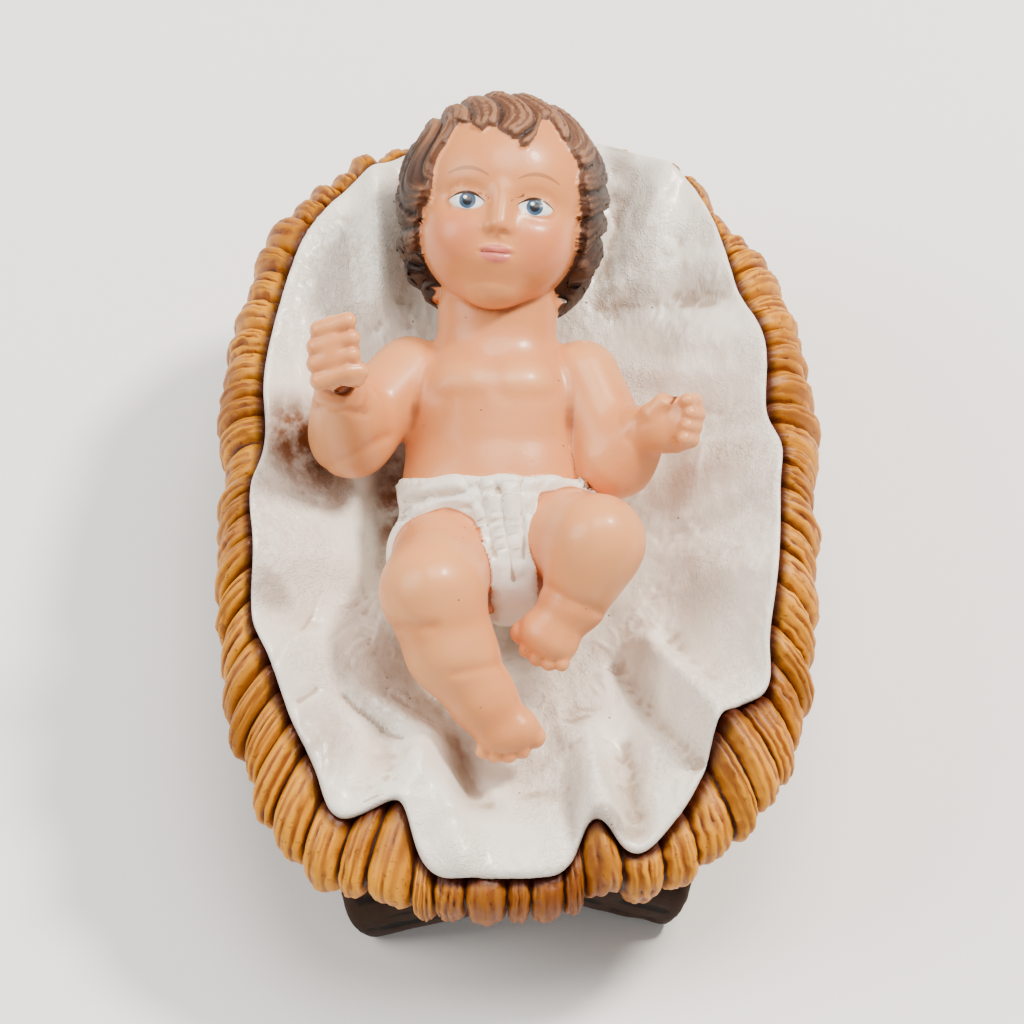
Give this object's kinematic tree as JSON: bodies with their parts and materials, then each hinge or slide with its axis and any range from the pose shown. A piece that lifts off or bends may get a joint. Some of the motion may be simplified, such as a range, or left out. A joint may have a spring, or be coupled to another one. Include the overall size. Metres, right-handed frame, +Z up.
{
  "type": "baby jesus figurine",
  "caption": "Painted resin crib infant in a white loincloth, one fist raised, lying loose in a straw manger lined with a white cloth, on crossed log feet.",
  "frame": {"origin": "middle of the manger's footprint at floor level", "axes": "+Y runs along the manger from the infant's feet to its head, +Z is up from the floor, +X is to the right for someone standing at the foot end"},
  "size_m": [0.0708, 0.0998, 0.0559],
  "materials": {
    "painted_skin": "varnished paint on polyresin, warm shade wiped into the creases",
    "painted_cloth": "thick white paint with brush marks, brown wash in the folds",
    "painted_straw": "yellow ochre paint with a dark brown glaze in the grooves",
    "painted_wood": "dark grey-brown paint, dry-brushed"
  },
  "bodies": {
    "root": {"infant_figure": "painted_skin", "manger": "painted_straw"}
  },
  "joints": []
}
